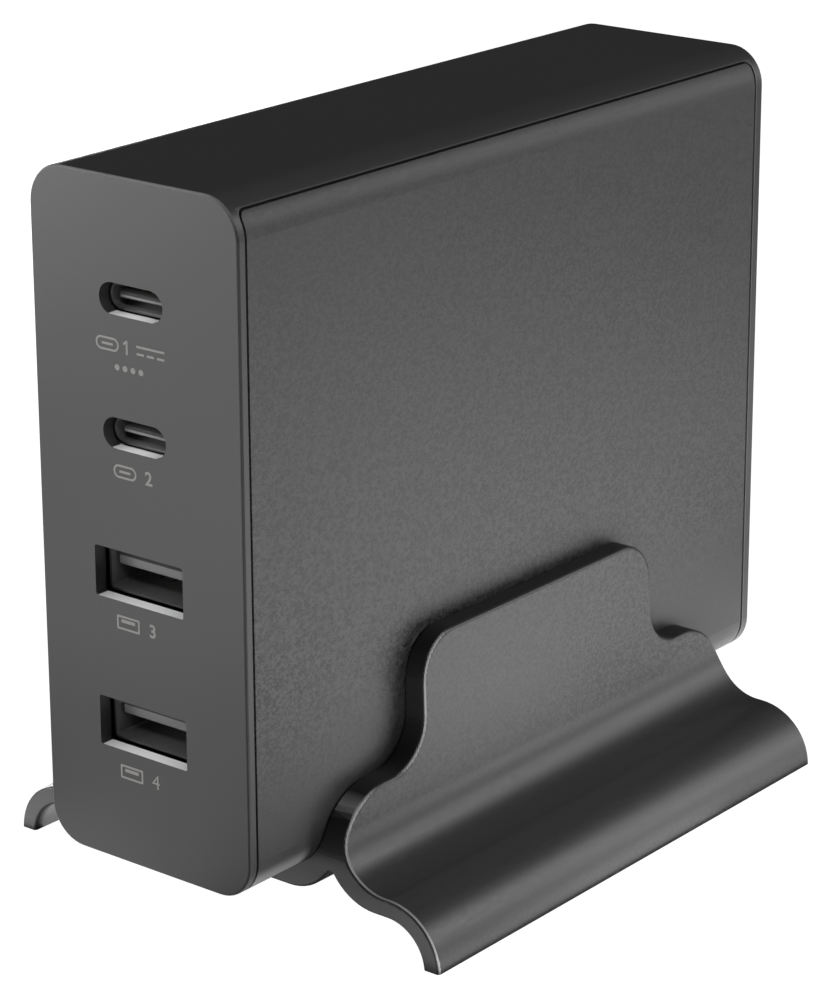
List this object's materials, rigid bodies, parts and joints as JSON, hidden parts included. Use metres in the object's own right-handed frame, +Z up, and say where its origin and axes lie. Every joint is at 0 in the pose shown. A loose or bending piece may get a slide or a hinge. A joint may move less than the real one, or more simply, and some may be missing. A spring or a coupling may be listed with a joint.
{
  "type": "multi port usb desktop charger",
  "caption": "Slim upright desktop charger with USB-C and USB-A ports on its narrow front face and a mains inlet behind, standing in a moulded cradle with S-shaped wings.",
  "frame": {"origin": "middle of the footprint, on the table top that the stand rests on", "axes": "+Z up; -Y is the narrow face with the ports, +Y the face with the mains inlet; +X to the right when looking at the ports"},
  "size_m": [0.0662, 0.1006, 0.0899],
  "materials": {
    "frame_plastic": "smooth satin dark grey moulding",
    "shell_plastic": "dark grey moulding with a fine sparkling grain",
    "stand_plastic": "dark grey moulding with a fine satin grain",
    "port_metal": "dark nickel-plated drawn sheet",
    "port_plastic": "dark grey moulded insulator",
    "contact_metal": "gold-flashed contacts",
    "circuit_board": "green solder mask",
    "plated_pin": "nickel-plated pins",
    "inlet_plastic": "black moulded inlet",
    "lead_jacket": "coloured lead insulation",
    "fuse_body": "moulded fuse body",
    "ferrite": "sintered dark ferrite",
    "copper_wire": "enamelled copper wire",
    "winding_tape": "polyester winding tape",
    "film_capacitor": "moulded film capacitor box",
    "disc_capacitor": "dipped ceramic disc",
    "capacitor_can": "shrink sleeve over an aluminium can",
    "moulded_epoxy": "black moulded epoxy",
    "pressed_iron": "pressed iron powder",
    "heat_spreader": "plain rolled sheet",
    "thermal_pad": "soft filled silicone",
    "insulating_sheet": "insulating fibre sheet"
  },
  "bodies": {
    "root": {"bridge_rectifier": "moulded_epoxy", "buck_inductors": "pressed_iron", "bulk_capacitors": "capacitor_can", "choke_core": "ferrite", "choke_windings": "copper_wire", "control_chips": "moulded_epoxy", "fuse": "fuse_body", "heat_spreader": "heat_spreader", "inlet_body": "inlet_plastic", "inlet_leads": "lead_jacket", "inlet_pins": "plated_pin", "insulating_sheet": "insulating_sheet", "link_pins": "plated_pin", "main_board": "circuit_board", "output_capacitors": "capacitor_can", "port_board": "circuit_board", "power_switches": "moulded_epoxy", "side_shell": "shell_plastic", "stand": "stand_plastic", "thermal_pad": "thermal_pad", "top_frame": "frame_plastic", "transformer_core": "ferrite", "transformer_winding": "winding_tape", "usb_a_contacts_lower": "contact_metal", "usb_a_contacts_upper": "contact_metal", "usb_a_insulator_lower": "port_plastic", "usb_a_insulator_upper": "port_plastic", "usb_a_shell_lower": "port_metal", "usb_a_shell_upper": "port_metal", "usb_c_contacts_lower": "contact_metal", "usb_c_contacts_upper": "contact_metal", "usb_c_insulator_lower": "port_plastic", "usb_c_insulator_upper": "port_plastic", "usb_c_shell_lower": "port_metal", "usb_c_shell_upper": "port_metal", "x_capacitor": "film_capacitor", "y_capacitors": "disc_capacitor"}
  },
  "joints": []
}
